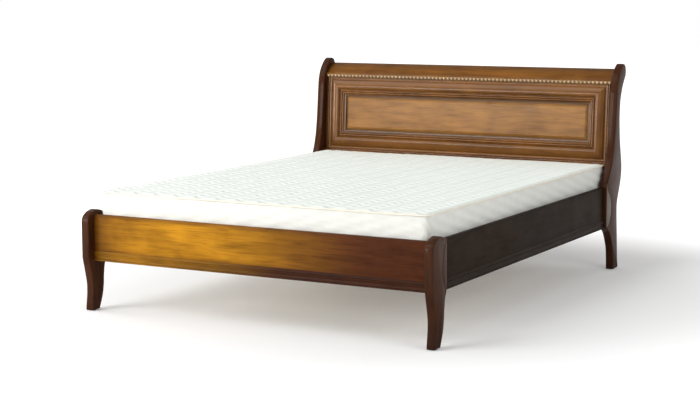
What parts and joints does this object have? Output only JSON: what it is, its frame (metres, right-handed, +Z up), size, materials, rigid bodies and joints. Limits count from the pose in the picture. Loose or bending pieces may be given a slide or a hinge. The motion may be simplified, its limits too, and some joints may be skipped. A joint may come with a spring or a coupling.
{
  "type": "sleigh bed",
  "caption": "Double bed with scrolled head posts, a panelled headboard with a bead course, sabre-legged foot posts, moulded rails, slatted base and quilted mattress.",
  "frame": {"origin": "on the floor, under the middle of the bed's length and width", "axes": "+X across the bed to the right seen from the foot, +Y along the bed towards the headboard, +Z up"},
  "size_m": [1.7, 2.199, 1.0197],
  "materials": {
    "walnut_stain": "semi-gloss stained hardwood",
    "dark_walnut": "semi-gloss dark stained hardwood",
    "bare_pine": "planed bare softwood",
    "zinc_steel": "zinc-plated pressed steel",
    "webbing": "woven tape",
    "glide_plastic": "moulded plastic",
    "mattress_foam": "foam filling",
    "quilted_ticking": "quilted knitted ticking",
    "piping": "woven binding over cord"
  },
  "bodies": {
    "bed_frame": {"foot_post_left": "dark_walnut", "foot_post_right": "dark_walnut", "head_post_left": "dark_walnut", "head_post_right": "dark_walnut", "foot_pad_left": "dark_walnut", "foot_pad_right": "dark_walnut", "head_pad_left": "dark_walnut", "head_pad_right": "dark_walnut", "foot_rail": "walnut_stain", "foot_rail_moulding": "walnut_stain", "side_rail_left": "walnut_stain", "side_rail_right": "walnut_stain", "side_rail_moulding_left": "walnut_stain", "side_rail_moulding_right": "walnut_stain", "head_lower_board": "walnut_stain", "head_stile_left": "walnut_stain", "head_stile_right": "walnut_stain", "head_top_rail": "walnut_stain", "head_bottom_rail": "walnut_stain", "raised_panel": "walnut_stain", "frame_moulding_top": "walnut_stain", "frame_moulding_bottom": "walnut_stain", "frame_moulding_left": "walnut_stain", "frame_moulding_right": "walnut_stain", "panel_bead_top": "walnut_stain", "panel_bead_bottom": "walnut_stain", "panel_bead_left": "walnut_stain", "panel_bead_right": "walnut_stain", "edge_bead_left": "walnut_stain", "edge_bead_right": "walnut_stain", "bead_course": "walnut_stain", "crest_rail": "walnut_stain", "stile_dowels": "bare_pine", "ledger_left": "bare_pine", "ledger_right": "bare_pine", "centre_beam": "bare_pine", "beam_socket_foot": "zinc_steel", "beam_socket_head": "zinc_steel", "centre_leg_front": "dark_walnut", "centre_leg_rear": "dark_walnut", "leg_plates": "zinc_steel", "slats": "bare_pine", "slat_tapes": "webbing", "hook_plates": "zinc_steel", "slot_plates": "zinc_steel", "bracket_screws": "zinc_steel", "ledger_screws": "zinc_steel", "glides": "glide_plastic"},
    "mattress": {"mattress_core": "mattress_foam", "mattress_top_panel": "quilted_ticking", "mattress_bottom_panel": "quilted_ticking", "mattress_border": "quilted_ticking", "mattress_piping_top": "piping", "mattress_piping_bottom": "piping"}
  },
  "joints": [
    {"name": "mattress_lift", "type": "slide", "parent": "bed_frame", "child": "mattress", "axis": [0, 0, 1], "range_m": [0, 0.4]}
  ]
}
